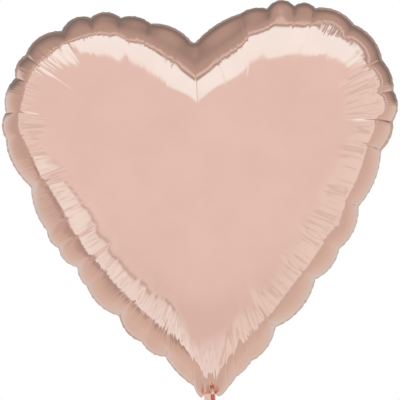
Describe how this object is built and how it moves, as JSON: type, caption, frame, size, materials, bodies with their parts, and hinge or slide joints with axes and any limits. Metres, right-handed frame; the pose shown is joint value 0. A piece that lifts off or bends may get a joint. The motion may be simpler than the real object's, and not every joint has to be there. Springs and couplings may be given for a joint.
{
  "type": "heart-shaped foil balloon",
  "caption": "Inflated heart-shaped foil balloon with a scalloped welded rim, a self-sealing film valve and a flat filling tail that folds at the tip.",
  "frame": {"origin": "centre of the ribbon hole in the end of the tail, in the middle plane of the seam", "axes": "+Z from the tail up to the lobes, front panel faces -Y, +X to the right seen from the front"},
  "size_m": [0.3915, 0.169, 0.4384],
  "materials": {
    "foil": "rose-gold metallised film, polished, finely wrinkled towards the rim",
    "weld": "the same film pressed flat by the heat weld",
    "valve_film": "clear limp film",
    "release_coat": "thin matt print on the valve film"
  },
  "bodies": {
    "balloon": {"front_panel": "foil", "back_panel": "foil", "edge_seal": "weld", "valve_front_film": "valve_film", "valve_back_film": "valve_film", "valve_side_welds": "valve_film", "valve_release_coat": "release_coat"},
    "tail": {"tail_front_foil": "foil", "tail_back_foil": "foil", "tail_seal": "weld", "inlet_front_film": "valve_film", "inlet_back_film": "valve_film", "inlet_side_welds": "valve_film"}
  },
  "joints": [
    {"name": "tail_fold", "type": "hinge", "parent": "balloon", "child": "tail", "pos_m": [0, 0, 0.05], "axis": [1, 0, 0], "range_deg": [-105, 105]}
  ]
}
